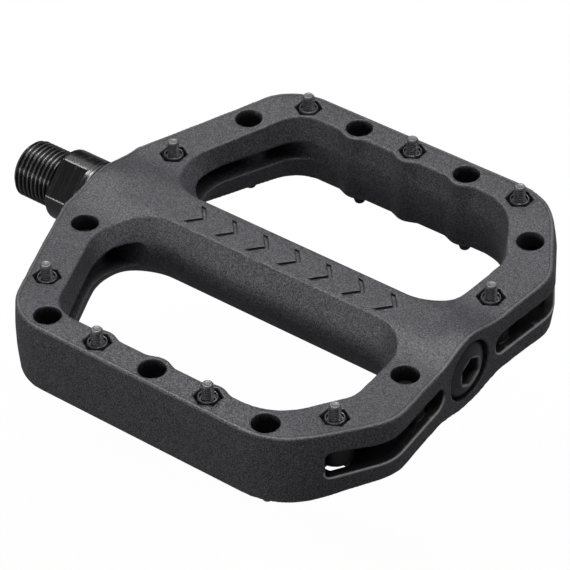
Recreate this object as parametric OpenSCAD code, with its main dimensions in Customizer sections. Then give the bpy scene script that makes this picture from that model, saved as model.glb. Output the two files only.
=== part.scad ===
// Flat platform bicycle pedal, right-hand side.
// Frame: mm. +X runs along the spindle away from the crank arm, +Y is forward
// (leading rail), +Z is up. The origin is on the spindle axis at the shoulder
// that seats against the crank arm.
// The platform repeats itself when turned half a turn about the spindle axis,
// so every upper-face feature has a lower-face twin at (x, -y, -z).

/* [Platform] */
// Distance from the crank shoulder to the middle of the platform
platform_centre = 65.8; // [65:0.1:67]
// Half width of the platform over the long rails, at mid height
platform_half_depth = 53.8; // [53.2:0.1:55]
// Half thickness of the long rails
rail_half_height = 9.15; // [8.8:0.05:10]
// Half thickness of the dished middle of the platform
dish_half_height = 7.55; // [7.3:0.05:8.2]
// Half height of the central axle tube
tube_half_height = 8.6; // [8.3:0.05:9.2]
// Half width of the axle tube at mid height
tube_half_width = 9.1; // [8.8:0.05:10]
// Lean of the outer walls away from vertical, degrees
wall_lean = 8; // [5:1:10]
// Half height of the pockets open at the outer side
pocket_half_height = 3; // [2.6:0.1:3.2]
// Depth of the decorative chevrons sunk in the axle tube
chevron_depth = 0.5; // [0.2:0.1:0.6]

/* [Traction pins] */
// Pin screw diameter
pin_d = 2.9; // [2.7:0.1:3]
// Pin length under the head
pin_length = 12; // [11.5:0.5:12.5]
// How far a pin stands out of the platform
pin_stand_out = 3.7; // [3:0.1:4.2]
// Pin head diameter
pin_head_d = 5.5; // [5:0.1:5.6]
// Pin head height
pin_head_h = 3; // [2.4:0.1:3]
// Diameter of the access holes that take the pin heads
access_d = 6.5; // [6.2:0.1:6.6]
// Nut width across flats
nut_af = 5.5; // [5.3:0.1:5.6]
// Height of the nut's hexagon
nut_h = 2.4; // [2:0.1:2.4]
// Diameter of the round collar on top of the nut
nut_collar_d = 4.7; // [4.4:0.1:4.8]
// Height of the collar above the hexagon
nut_collar_h = 1.2; // [0.9:0.1:1.3]
// Hex pocket width across flats
pocket_af = 6; // [5.9:0.1:6.2]

/* [Spindle] */
// Crank thread major diameter, 9/16 inch
thread_d = 14.288; // [14.2:0.008:14.32]
// Crank thread pitch, 20 threads per inch
thread_pitch = 1.27; // [1.25:0.01:1.27]
// Crank thread length
thread_length = 11.9; // [11.6:0.1:13]
// Collar diameter behind the crank shoulder
collar_d = 17.8; // [17.2:0.1:18]
// Wrench size across the collar flats
wrench_af = 15; // [15:0.1:15.4]
// Bushing journal diameter
journal_d = 12; // [11.8:0.05:12]
// Bearing seat diameter
seat_d = 7; // [7:0.001:7.002]

/* [Bearing] */
// Cartridge bearing outside diameter
bearing_od = 14; // [14:0.001:14.002]
// Cartridge bearing width
bearing_w = 5; // [4.8:0.1:5]
// Bearing ball diameter
ball_d = 2.381; // [2.3:0.001:2.4]
// Number of balls
ball_count = 9; // [7:1:9]

/* [End cap] */
// End cap thread diameter
cap_d = 14.9; // [14.6:0.05:15]
// Hex socket size across flats
cap_hex_af = 6; // [5:0.5:6]
// Depth of the cap's rim below the end of the platform
cap_sink = 1.1; // [0.8:0.1:1.6]
// How far the middle of the cap stands above its rim
cap_dome = 1.8; // [1:0.1:2]

/* [Hidden] */
$fn = 96;
overlap = 0.01;
through = 1;  // how far a cutter runs past the face it opens

// x stations along the spindle, from the crank shoulder
crank_reach = 55.3;  // platform centre to its crank-side end
outer_reach = 50;    // platform centre to its outer end
body_x0 = platform_centre - crank_reach;
body_x1 = platform_centre + outer_reach;
collar_len = body_x0 - 0.5;
bush_x0 = body_x0 + 2.4;
bush_x1 = bush_x0 + 12;
bear_x0 = body_x0 + 87.6;
bear_x1 = bear_x0 + bearing_w;
washer_t = 0.8;
lock_nut_t = 4.2;
lock_nut_x0 = bear_x1 + washer_t;
lock_nut_x1 = lock_nut_x0 + lock_nut_t;
cap_rim = body_x1 - cap_sink;
cap_t = 4.2;
cap_back = cap_rim - cap_t;

journal_clearance = 0.03;  // radial
bush_od = journal_d + 2;
seal_r = 8.2;

bearing_pitch_r = (bearing_od + seat_d) / 4;
race_gap = 0.85;  // radial, from the pitch circle to either race
ball_clearance = 0.03;

nut_total_h = nut_h + nut_collar_h;
// height of the nut's underside below the face it sits in
nut_drop = nut_total_h - 0.1;

// half thickness where the dish rises towards the rails
slope_half_height = rail_half_height - 0.83;

// pins of the upper face, as seen from above: [x from platform centre, y,
// face height there]; lower-face pins are the half-turn twins
inner_pin_x = 15.5;
inner_pin_y = 48.9;
front_pins = [
    [-30.3, 48.4, rail_half_height],
    [0, inner_pin_y, rail_half_height],
    [30.8, 48.4, rail_half_height]];
rear_pins = [for (x = [-inner_pin_x, inner_pin_x]) [x, -inner_pin_y, rail_half_height]];
crank_pins = [[-46.4, 16.4, dish_half_height + 0.1], [-40, -37.3, slope_half_height]];
outer_pins = [[44.6, 16.5, dish_half_height], [41.1, -37.5, slope_half_height]];
slot_pins = concat(crank_pins, outer_pins);
all_pins = concat(front_pins, rear_pins, slot_pins);

// corners [x, y, corner radius], counter-clockwise, at mid height
outline = [
    [50.2, 0, 0], [50.7, 12.5, 0], [52.4, 31.2, 11],
    [38.2, platform_half_depth, 17], [-38.7, platform_half_depth, 14], [-56.1, 11.4, 8],
    [-56.1, -11.4, 8], [-38.7, -platform_half_depth, 14], [38.2, -platform_half_depth, 17],
    [52.4, -31.2, 11], [50.7, -12.5, 0]];
// outline edges (by first corner) and corners whose walls lean
leaning_edges = [2, 3, 4, 6, 7, 8];
leaning_corners = [3, 4, 7, 8];
lean_z = 3;  // the walls have their outline size at this height above and below mid height

// front foot window, same columns
window = [
    [38.5, 4.6, 10], [40.2, 28.6, 8], [30, 45.7, 14],
    [-30.8, 45.7, 9], [-47.2, 4.6, 12]];

// platform's upper face across the spindle, from +Y edge to the axis: [y, z]
face_profile = [
    [60, rail_half_height + 0.1], [45, rail_half_height - 0.12],
    [37.4, slope_half_height], [28, dish_half_height + 0.35],
    [16.5, dish_half_height], [12.5, dish_half_height - 0.1],
    [6, tube_half_height - 0.05], [0, tube_half_height + 0.35]];

// upper half of the axle tube's section: [y, z]
tube_profile = [
    [tube_half_width, 2.4], [5.2, tube_half_height],
    [-5.2, tube_half_height], [-tube_half_width, 2.4]];

// colours
body_colour = [0.16, 0.16, 0.17];
spindle_colour = [0.2, 0.2, 0.21];
bushing_colour = [0.72, 0.6, 0.36];
seal_colour = [0.05, 0.05, 0.05];
race_colour = [0.6, 0.61, 0.63];
ball_colour = [0.75, 0.76, 0.78];
cage_colour = [0.7, 0.62, 0.4];
shield_colour = [0.06, 0.06, 0.07];
washer_colour = [0.55, 0.56, 0.58];
lock_nut_colour = [0.3, 0.3, 0.32];
cap_colour = [0.08, 0.08, 0.09];
o_ring_colour = [0.04, 0.04, 0.04];
pin_colour = [0.42, 0.42, 0.43];
nut_colour = [0.12, 0.12, 0.13];

// ---- Rounded outlines: points are [x, y, corner radius], i is a corner ----

function unit(v) = v / norm(v);
function corner(points, i) =
    let (point = points[(i + len(points)) % len(points)]) [point[0], point[1]];
function to_previous(points, i) = unit(corner(points, i - 1) - corner(points, i));
function to_next(points, i) = unit(corner(points, i + 1) - corner(points, i));
function half_angle(points, i) = acos(to_previous(points, i) * to_next(points, i)) / 2;
function bisector(points, i) = unit(to_previous(points, i) + to_next(points, i));

// the point at distance d from both edges that meet at a corner
function offset_corner(points, i, d) =
    corner(points, i) + bisector(points, i) * d / sin(half_angle(points, i));

// the middle of a corner's arc, and a second point along the tangent there
function arc_mid(points, i) =
    offset_corner(points, i, points[i][2]) - bisector(points, i) * points[i][2];
function arc_tangent(points, i) =
    let (normal = bisector(points, i)) arc_mid(points, i) + 10 * [normal[1], -normal[0]];

// the outline moved inward by d; corners without a radius only shift in X
function inset(points, d) = [for (i = [0:len(points) - 1])
    let (moved = points[i][2] > 0 ? offset_corner(points, i, d) : corner(points, i) - [d, 0])
    [moved[0], moved[1], max(0, points[i][2] - d)]];

// polygon with tangent arcs at its convex corners
module rounded(points) {
    polygon([for (i = [0:len(points) - 1])
        let (point = corner(points, i),
             radius = points[i][2],
             cut = radius > 0 ? radius / tan(half_angle(points, i)) : 0)
        each (radius > 0
            ? [point + to_previous(points, i) * cut, point + to_next(points, i) * cut]
            : [point])]);
    for (i = [0:len(points) - 1])
        if (points[i][2] > 0)
            translate(offset_corner(points, i, points[i][2])) circle(r = points[i][2]);
}

// ---- Shared shapes ----

function across_corners(flats) = flats / cos(30);

// polygon from its upper edge, listed from +Y to -Y, and that edge's half-turn twin
module half_turn_polygon(upper) {
    polygon(concat([for (point = upper) -point], upper));
}

module along_x(x0, x1) {
    translate([x0, 0, 0]) rotate([90, 0, 90]) linear_extrude(x1 - x0) children();
}

module x_cyl(x0, x1, r) {
    translate([x0, 0, 0]) rotate([0, 90, 0]) cylinder(r = r, h = x1 - x0);
}

module x_ring(x0, x1, inner_r, outer_r) {
    translate([x0, 0, 0]) rotate([0, 90, 0]) difference() {
        cylinder(r = outer_r, h = x1 - x0);
        translate([0, 0, -through]) cylinder(r = inner_r, h = x1 - x0 + 2 * through);
    }
}

// solid on the left of the line start to end, its face passing through the
// line at height z and leaning to the left, going up, by lean degrees
module lean_side(start, end, z, lean) {
    translate([start[0], start[1], z])
        rotate([0, 0, atan2(end[1] - start[1], end[0] - start[0])])
            rotate([-lean, 0, 0])
                translate([-150, 0, -60]) cube([300, 200, 120]);
}

module lean_edge(points, i, z, lean) {
    lean_side(corner(points, i), corner(points, i + 1), z, lean);
}

module lean_corner(points, i, z, lean) {
    lean_side(arc_mid(points, i), arc_tangent(points, i), z, lean);
}

module turned() { rotate([180, 0, 0]) children(); }

// ---- Platform, drawn about its own centre ----

// outer form: plan outline, section heights, leaning walls
module outer_block() {
    face_left = [for (i = [len(face_profile) - 2:-1:0]) [-face_profile[i][0], face_profile[i][1]]];
    intersection() {
        translate([0, 0, -15]) linear_extrude(30) rounded(outline);
        along_x(-60, 60) half_turn_polygon(concat(face_profile, face_left));
        intersection_for (i = leaning_edges) lean_edge(outline, i, lean_z, wall_lean);
        intersection_for (i = leaning_corners) lean_corner(outline, i, lean_z, wall_lean);
        intersection_for (i = leaning_corners) lean_corner(outline, i, -lean_z, -wall_lean);
        intersection_for (i = leaning_edges) lean_edge(outline, i, -lean_z, -wall_lean);
    }
}

// upper half of the front foot window; its walls lean in towards mid height
// and leave rounded bosses round the inner rail pins
module window_half() {
    intersection() {
        translate([0, 0, -overlap]) linear_extrude(15) difference() {
            rounded(window);
            for (x = [-inner_pin_x, 0, inner_pin_x]) translate([x, inner_pin_y]) circle(r = 4.45);
        }
        lean_edge(window, 2, rail_half_height, -6);
        lean_edge(window, 3, dish_half_height, -11);
        lean_edge(window, 1, slope_half_height, -6);
        lean_edge(window, 0, dish_half_height, -4);
        lean_corner(window, 4, dish_half_height, -28);
        lean_corner(window, 0, dish_half_height, -22);
    }
}

// the slot plans are bands cut from the outline; the cutters reach these limits
plan_x = 80;
plan_y = 70;
outer_slot_y0 = 13;

// plan of the pocket in the outer-side rail, open at the outer wall
module outer_slot_plan() {
    slot_x0 = 39.5;
    slot_y1 = 45.4;
    difference() {
        rounded(inset(outline, -3));
        rounded(inset(outline, 8.4));
        translate([-plan_x, -plan_y]) square([plan_x + slot_x0, 2 * plan_y]);
        translate([0, -outer_slot_y0]) square([plan_x, 2 * outer_slot_y0]);
        for (y = [-plan_y, slot_y1]) translate([0, y]) square([plan_x, plan_y - slot_y1]);
    }
}

// plan of the pocket in the crank-side rail, open at the foot windows
module crank_slot_plan() {
    slot_x1 = -25;
    slot_y0 = 10.6;
    slot_y1 = 45;
    cutter_x = 100;
    cutter_y = 24.8;
    difference() {
        intersection() {
            rounded(inset(outline, 3.2));
            translate([-plan_x, -plan_y]) square([plan_x + slot_x1, 2 * plan_y]);
        }
        translate([-plan_x, -slot_y0]) square([cutter_x, 2 * slot_y0]);
        for (y = [slot_y1, -slot_y1 - cutter_y])
            translate([-plan_x, y]) square([cutter_x, cutter_y]);
    }
}

// column that carries a pin across a slot; the ones near the axis run the
// full height, the others stop just past mid height
module pin_column(pin, side) {
    top = 10;
    low = abs(pin[1]) < 20 ? -top : -1.9;
    translate([pin[0], side * pin[1], side > 0 ? low : -top]) cylinder(d = 8.6, h = top - low);
}

module slots() {
    inner_half_height = 4.3;  // outer-side slot behind its lip
    crank_half_height = 2.7;
    difference() {
        union() {
            translate([0, 0, -pocket_half_height])
                linear_extrude(2 * pocket_half_height) outer_slot_plan();
            // round ends
            for (y = [-outer_slot_y0, outer_slot_y0])
                translate([0, y, 0]) x_cyl(42.5, 56, pocket_half_height);
            translate([0, 0, -inner_half_height]) linear_extrude(2 * inner_half_height)
                intersection() { outer_slot_plan(); rounded(inset(outline, 2.4)); }
            translate([0, 0, -crank_half_height])
                linear_extrude(2 * crank_half_height) crank_slot_plan();
        }
        for (pin = slot_pins) for (side = [-1, 1]) pin_column(pin, side);
    }
}

// height of the top of a pin's head
function head_top(pin) = pin[2] + pin_stand_out - pin_length;

// access hole for the head, screw hole and hex pocket for the nut
module pin_holes() {
    hole_reach = 12;
    for (pin = all_pins) for (s = [0, 1]) rotate([180 * s, 0, 0])
        translate([pin[0], pin[1], 0]) {
            translate([0, 0, -hole_reach]) cylinder(d = access_d, h = head_top(pin) + hole_reach);
            translate([0, 0, head_top(pin) - through]) cylinder(d = pin_d + 0.3, h = hole_reach);
            translate([0, 0, pin[2] - nut_drop]) rotate([0, 0, 30])
                cylinder(d = across_corners(pocket_af), h = 6, $fn = 6);
        }
}

// arrow head pointing to +X
module chevron() {
    polygon([[-2.6, -3.4], [-1.3, -3.4], [1.7, 0], [-1.3, 3.4], [-2.6, 3.4], [0.4, 0]]);
}

module chevron_rows() {
    middle_x = 2;
    pitch = 9;
    for (s = [0, 1]) rotate([180 * s, 0, 0])
        for (i = [-3:3])
            translate([middle_x + i * pitch, 0, tube_half_height - chevron_depth])
                linear_extrude(3) chevron();
}

// seal recess, bushing seat, axle bore, bearing seat and cap thread, in
// spindle stations
module axle_bore() {
    x_cyl(body_x0 - 5, bush_x0, seal_r);
    x_cyl(body_x0, bush_x1, bush_od / 2);
    x_cyl(body_x0, bear_x0 + through, 6.2);
    x_cyl(bear_x0, bear_x1 + through, bearing_od / 2);
    x_cyl(bear_x1, body_x1 + 5, cap_d / 2);
}

module platform_body() {
    color(body_colour) translate([platform_centre, 0, 0]) difference() {
        union() {
            difference() {
                outer_block();
                for (my = [0, 1]) for (mz = [0, 1])
                    mirror([0, my, 0]) mirror([0, 0, mz]) window_half();
            }
            along_x(-48, 46) half_turn_polygon(tube_profile);
            x_cyl(42, outer_reach, 9.35);
            x_cyl(-crank_reach, -46, 9.3);
        }
        slots();
        pin_holes();
        translate([-platform_centre, 0, 0]) axle_bore();
        chevron_rows();
        // flat end face on the crank side
        translate([-80, -30, -30]) cube([80 - crank_reach, 60, 60]);
    }
}

// ---- Spindle and bushing ----

// two flats on the collar, starting at the crank shoulder
module wrench_flats() {
    cut = 5;
    rotate([45, 0, 0]) for (z = [-wrench_af / 2 - cut, wrench_af / 2])
        translate([-overlap, -12, z]) cube([8.1, 24, cut]);
}

// turned spindle; the crank thread is a plain cylinder of its major diameter
module spindle() {
    thread_r = thread_d / 2;
    collar_r = collar_d / 2;
    thread_chamfer = thread_pitch * 0.75;
    journal_r = journal_d / 2 - journal_clearance;
    shank_r = 4.6;
    tip_r = 3;
    color(spindle_colour) difference() {
        // [radius, x station]
        rotate([0, 90, 0]) rotate_extrude() polygon([
            [0, -thread_length], [thread_r - thread_chamfer, -thread_length],
            [thread_r, -thread_length + thread_chamfer], [thread_r, 0],
            [collar_r - 0.3, 0], [collar_r, 0.3],
            [collar_r, collar_len - 0.4], [collar_r - 0.4, collar_len],
            [7.2, collar_len], [7.2, bush_x0 - 0.3],
            [journal_r, bush_x0 - 0.3], [journal_r, bush_x1 + 0.5],
            [5.3, bush_x1 + 1.5], [shank_r, bear_x0 - 6], [shank_r, bear_x0],
            [seat_d / 2, bear_x0], [seat_d / 2, bear_x1 - 0.2],
            [tip_r, bear_x1 - 0.2], [tip_r, lock_nut_x1 + 0.4],
            [tip_r - 0.5, lock_nut_x1 + 0.9], [0, lock_nut_x1 + 0.9]]);
        wrench_flats();
    }
}

module crank_bushing() {
    color(bushing_colour) x_ring(bush_x0, bush_x1, journal_d / 2, bush_od / 2);
}

// ring with a lip that reaches in at its crank-side end
module dust_seal() {
    lip_r = 7.25;
    wall_r = 7.6;
    color(seal_colour)
        rotate([0, 90, 0]) rotate_extrude() polygon([
            [lip_r, body_x0 + 0.1], [seal_r, body_x0 + 0.1], [seal_r, bush_x0],
            [wall_r, bush_x0], [wall_r, body_x0 + 1], [lip_r, body_x0 + 0.6]]);
}

// ---- Bearing ----

// ring with a ball groove on the pitch circle
module race(inner_r, outer_r) {
    translate([bear_x0, 0, 0]) rotate([0, 90, 0]) difference() {
        cylinder(r = outer_r, h = bearing_w);
        translate([0, 0, -through]) cylinder(r = inner_r, h = bearing_w + 2 * through);
        translate([0, 0, bearing_w / 2]) rotate_extrude()
            translate([bearing_pitch_r, 0]) circle(r = ball_d / 2 + ball_clearance);
    }
}

module bearing_outer_race() {
    color(race_colour) race(bearing_pitch_r + race_gap, bearing_od / 2);
}

module bearing_inner_race() {
    color(race_colour) race(seat_d / 2, bearing_pitch_r - race_gap);
}

module bearing_balls() {
    color(ball_colour)
        for (i = [0:ball_count - 1])
            rotate([360 / ball_count * i, 0, 0])
                translate([bear_x0 + bearing_w / 2, 0, bearing_pitch_r])
                    sphere(d = ball_d, $fn = 48);
}

module bearing_cage() {
    side_gap = 1.1;
    half_wall = 0.45;
    color(cage_colour) difference() {
        x_ring(bear_x0 + side_gap, bear_x1 - side_gap,
            bearing_pitch_r - half_wall, bearing_pitch_r + half_wall);
        for (i = [0:ball_count - 1])
            rotate([360 / ball_count * i, 0, 0])
                translate([bear_x0 + bearing_w / 2, 0, 0])
                    cylinder(d = ball_d + 2 * ball_clearance, h = 10);
    }
}

shield_t = 0.3;
shield_sink = 0.15;

module shield(x0) {
    x_ring(x0, x0 + shield_t, bearing_pitch_r - 0.8, bearing_pitch_r + race_gap);
}

module bearing_shield_inboard() {
    color(shield_colour) shield(bear_x0 + shield_sink);
}

module bearing_shield_outboard() {
    color(shield_colour) shield(bear_x1 - shield_sink - shield_t);
}

// ---- Spindle end and cap ----

module washer() {
    color(washer_colour) x_ring(bear_x1, lock_nut_x0, 3.05, 4.4);
}

module lock_nut() {
    color(lock_nut_colour) translate([lock_nut_x0, 0, 0]) rotate([0, 90, 0])
        difference() {
            cylinder(d = across_corners(10), h = lock_nut_t, $fn = 6);
            translate([0, 0, -through]) cylinder(r = 3, h = lock_nut_t + 2 * through);
        }
}

// threaded disc with a conical dome, and a skirt that reaches the bearing
module end_cap() {
    color(cap_colour) difference() {
        union() {
            x_cyl(cap_back, cap_rim, cap_d / 2);
            translate([cap_rim, 0, 0]) rotate([0, 90, 0])
                cylinder(r1 = cap_d / 2 - 0.35, r2 = 4.2, h = cap_dome);
            x_cyl(bear_x1, cap_back + 1, 6.95);
        }
        x_cyl(bear_x1 - through, cap_back, 6.1);
        translate([cap_rim - 2, 0, 0]) rotate([0, 90, 0])
            cylinder(d = across_corners(cap_hex_af), h = 6, $fn = 6);
    }
}

module cap_o_ring() {
    color(o_ring_colour) translate([cap_back - 0.25, 0, 0])
        rotate([0, 90, 0]) rotate_extrude() translate([7.2, 0]) circle(r = 0.22, $fn = 32);
}

// ---- Pins and nuts ----

// pin screws of one group, upper face
module pins(group) {
    chamfer = 0.3;
    color(pin_colour) translate([platform_centre, 0, 0]) for (pin = group)
        translate([pin[0], pin[1], head_top(pin)]) difference() {
            union() {
                cylinder(d = pin_d, h = pin_length - chamfer);
                translate([0, 0, pin_length - chamfer])
                    cylinder(r1 = pin_d / 2, r2 = pin_d / 2 - chamfer, h = chamfer);
                translate([0, 0, -pin_head_h]) cylinder(d = pin_head_d, h = pin_head_h);
            }
            // hex socket
            translate([0, 0, -pin_head_h - through])
                cylinder(d = across_corners(2.5), h = 1.6 + through, $fn = 6);
        }
}

// hexagon with a turned chamfer round its top
module nut_hexagon() {
    chamfer = 0.45;
    corners_d = across_corners(nut_af);
    intersection() {
        rotate([0, 0, 30]) cylinder(d = corners_d, h = nut_h, $fn = 6);
        union() {
            cylinder(d = corners_d + 1, h = nut_h - chamfer);
            translate([0, 0, nut_h - chamfer])
                cylinder(r1 = corners_d / 2 + 0.05, r2 = nut_af / 2 - 0.3, h = chamfer);
        }
    }
}

// collared nuts of one group, upper face; the round collar reaches just
// above the platform
module nuts(group) {
    collar_z0 = 1;
    collar_chamfer = 0.2;
    color(nut_colour) translate([platform_centre, 0, 0]) for (pin = group)
        translate([pin[0], pin[1], pin[2] - nut_drop]) difference() {
            union() {
                nut_hexagon();
                translate([0, 0, collar_z0])
                    cylinder(d = nut_collar_d, h = nut_total_h - collar_z0 - collar_chamfer);
                translate([0, 0, nut_total_h - collar_chamfer])
                    cylinder(r1 = nut_collar_d / 2, r2 = nut_collar_d / 2 - 0.15,
                        h = collar_chamfer);
            }
            translate([0, 0, -through]) cylinder(d = pin_d + 0.06, h = nut_total_h + 2 * through);
            translate([0, 0, nut_total_h - 0.5]) cylinder(d = pin_d + 0.9, h = 1);
        }
}

platform_body();
spindle();
crank_bushing();
dust_seal();
bearing_outer_race();
bearing_inner_race();
bearing_cage();
bearing_balls();
bearing_shield_inboard();
bearing_shield_outboard();
washer();
lock_nut();
end_cap();
cap_o_ring();
pins(front_pins);  // pins_top_front
pins(rear_pins);  // pins_top_rear
pins(crank_pins);  // pins_top_crank
pins(outer_pins);  // pins_top_outer
turned() pins(rear_pins);  // pins_bottom_front
turned() pins(front_pins);  // pins_bottom_rear
turned() pins(crank_pins);  // pins_bottom_crank
turned() pins(outer_pins);  // pins_bottom_outer
nuts(front_pins);  // nuts_top_front
nuts(rear_pins);  // nuts_top_rear
nuts(crank_pins);  // nuts_top_crank
nuts(outer_pins);  // nuts_top_outer
turned() nuts(rear_pins);  // nuts_bottom_front
turned() nuts(front_pins);  // nuts_bottom_rear
turned() nuts(crank_pins);  // nuts_bottom_crank
turned() nuts(outer_pins);  // nuts_bottom_outer
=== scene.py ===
import math

import bpy
import numpy as np
from mathutils import Matrix, Vector


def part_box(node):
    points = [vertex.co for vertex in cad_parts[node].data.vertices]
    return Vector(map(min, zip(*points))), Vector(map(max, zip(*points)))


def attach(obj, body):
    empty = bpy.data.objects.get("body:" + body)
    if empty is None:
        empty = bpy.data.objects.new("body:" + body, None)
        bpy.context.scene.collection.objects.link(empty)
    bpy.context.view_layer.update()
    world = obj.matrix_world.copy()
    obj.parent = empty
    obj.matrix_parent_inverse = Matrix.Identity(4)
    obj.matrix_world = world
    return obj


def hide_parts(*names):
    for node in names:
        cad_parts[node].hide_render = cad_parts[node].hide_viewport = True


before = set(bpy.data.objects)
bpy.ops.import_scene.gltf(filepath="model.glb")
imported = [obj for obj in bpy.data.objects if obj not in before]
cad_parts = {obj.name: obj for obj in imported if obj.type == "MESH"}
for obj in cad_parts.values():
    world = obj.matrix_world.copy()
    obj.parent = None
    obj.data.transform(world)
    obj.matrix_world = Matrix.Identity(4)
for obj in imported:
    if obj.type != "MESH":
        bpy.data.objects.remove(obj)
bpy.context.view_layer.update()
MM = 0.001

# ---------------------------------------------------------------- CAD frame
# Everything below is in millimetres with the platform's middle at x = 0;
# PC takes it back to the row frame.
_lo, _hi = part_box("platform_body")
PC = _lo.x / MM + 55.3
_slo, _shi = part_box("spindle")
THREAD_X0 = _slo.x / MM - PC
SHOULDER = -PC
_clo, _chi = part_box("end_cap")
CAP_X1 = _chi.x / MM - PC
CAP_X0 = _clo.x / MM - PC
SPINDLE_X1 = _shi.x / MM - PC


TOP = {}
for g in ("front", "rear", "crank", "outer"):
    a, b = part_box("nuts_top_" + g)
    TOP[g] = (a / MM, b / MM)

# a nut's collar stands 0.1 above the face; the nut is 3.6 high
H_RAIL = TOP["front"][1].z - 0.1
H_DISH = TOP["outer"][0].z + 3.5
H_MID = TOP["outer"][1].z - 0.1
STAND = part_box("pins_top_front")[1].z / MM - H_RAIL
PIN_LEN = 12.0

FRONT = [(-30.3, 48.4, H_RAIL), (0.0, 48.9, H_RAIL), (30.8, 48.4, H_RAIL)]
REAR = [(-15.5, -48.9, H_RAIL), (15.5, -48.9, H_RAIL)]
CRANK = [(-46.4, 16.4, H_DISH + 0.1), (-40.0, -37.3, H_MID)]
OUTER = [(44.6, 16.5, H_DISH), (41.1, -37.5, H_MID)]
PINS = FRONT + REAR + CRANK + OUTER


# ---------------------------------------------------------------- distances
def rmax(a, b, r):
    """intersection of two solids with a rounded edge of radius r"""
    return np.minimum(-r, np.maximum(a, b)) + np.hypot(np.maximum(a + r, 0), np.maximum(b + r, 0))


def smax(a, b, k):
    h = np.maximum(k - np.abs(a - b), 0) / k
    return np.maximum(a, b) + h * h * k * 0.25


def sstep(t):
    t = np.clip(t, 0, 1)
    return t * t * (3 - 2 * t)


class RoundPoly:
    """distance to a convex polygon whose corners are arcs; only the given sides count"""

    def __init__(self, pts, skip=()):
        n = len(pts)
        self.sides, self.corners = [], []
        for i in range(n):
            if i in skip:
                continue
            a, b = np.array(pts[i][:2]), np.array(pts[(i + 1) % n][:2])
            e = (b - a) / np.linalg.norm(b - a)
            nrm = np.array([e[1], -e[0]])
            self.sides.append((nrm[0], nrm[1], nrm @ a))
        for i in range(n):
            r = pts[i][2]
            if r <= 0:
                continue
            p, a, b = (np.array(pts[j % n][:2]) for j in (i, i - 1, i + 1))
            u, v = (a - p) / np.linalg.norm(a - p), (b - p) / np.linalg.norm(b - p)
            half = math.acos(float(u @ v)) / 2
            c = p + (u + v) / np.linalg.norm(u + v) * r / math.sin(half)
            self.corners.append((c, -u, -v, r))

    def __call__(self, x, y):
        d = None
        for nx, ny, c in self.sides:
            s = nx * x + ny * y - c
            d = s if d is None else np.maximum(d, s)
        for c, e1, e2, r in self.corners:
            px, py = x - c[0], y - c[1]
            m = (px * e1[0] + py * e1[1] > 0) & (px * e2[0] + py * e2[1] > 0)
            if m.any():
                d[m] = np.hypot(px[m], py[m]) - r
        return d


OUTLINE = RoundPoly([(42.29, -80, 0), (52.4, 31.2, 11), (38.2, 53.8, 20), (-38.7, 53.8, 14),
                     (-56.1, 11.4, 8), (-56.1, -80, 0)], skip=(5,))
WIN_TOP = RoundPoly([(38.5, 5.3, 10), (40.2, 28.6, 8), (30, 45.8, 14), (-31.1, 45.8, 9), (-47.6, 5.3, 12)])
WIN_MID = RoundPoly([(38.0, 9.1, 10), (39.8, 28.0, 8), (29.6, 44.7, 14), (-29.6, 44.7, 9), (-45.1, 9.1, 12)])

# dished height of the platform over |y|
_ky = np.array([0, 5.2, 7.6, 10, 12.5, 16.5, 22, 28, 37.4, 44, 47, 70.0])
_kh = np.array([8.66, 8.60, 8.16, 7.60, 7.38, H_DISH, H_DISH + 0.1, H_DISH + 0.32, H_MID, H_RAIL - 0.25, H_RAIL, H_RAIL])
_ty = np.arange(-10, 70, 0.05)
_th = np.interp(np.abs(_ty), _ky, _kh)
_g = np.exp(-0.5 * (np.arange(-70, 71) * 0.05 / 0.9) ** 2)
_th = np.convolve(_th, _g / _g.sum(), mode="same")
_sel = (_ty >= -0.01) & (_ty < 66)
_ty, _th = _ty[_sel], _th[_sel]


def height(x, ya):
    h0 = np.interp(ya, _ty, _th)
    out = smax(h0, np.sqrt(np.maximum(9.0 ** 2 - ya * ya, 0.01)), 3.0)
    inn = smax(h0, np.sqrt(np.maximum(9.35 ** 2 - ya * ya, 0.01)), 1.6)
    bo = sstep((x - 39.5) / 7.5)
    bi = sstep((-x - 45.5) / 6.5)
    return h0 + (out - h0) * bo + (inn - h0) * bi


def hexagon(x, y, af):
    """distance to a hexagon with a corner on +x"""
    a, b = np.abs(x), np.abs(y)
    return np.maximum(b, a * 0.8660254 + b * 0.5) - af / 2


def chevrons(x, y):
    u = (x - 2 + 4.5) % 9 - 4.5
    v = np.abs(y)
    # an arrow head from (1.7, 0) back to (-1.3, 3.4), 1.3 wide along x
    s = u - 1.7 + v * (3.0 / 3.4)
    d = np.maximum(np.maximum(s, -s - 1.3) * 0.75, v - 3.4)
    return np.maximum(d, np.abs(x - 2) - 31.0)


BORES = [(-70.0, -52.9, 8.2), (-56.0, -40.9, 7.0), (-56.0, 33.3, 6.2), (32.3, 38.3, 7.0), (37.3, 60.0, 7.45)]


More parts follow.
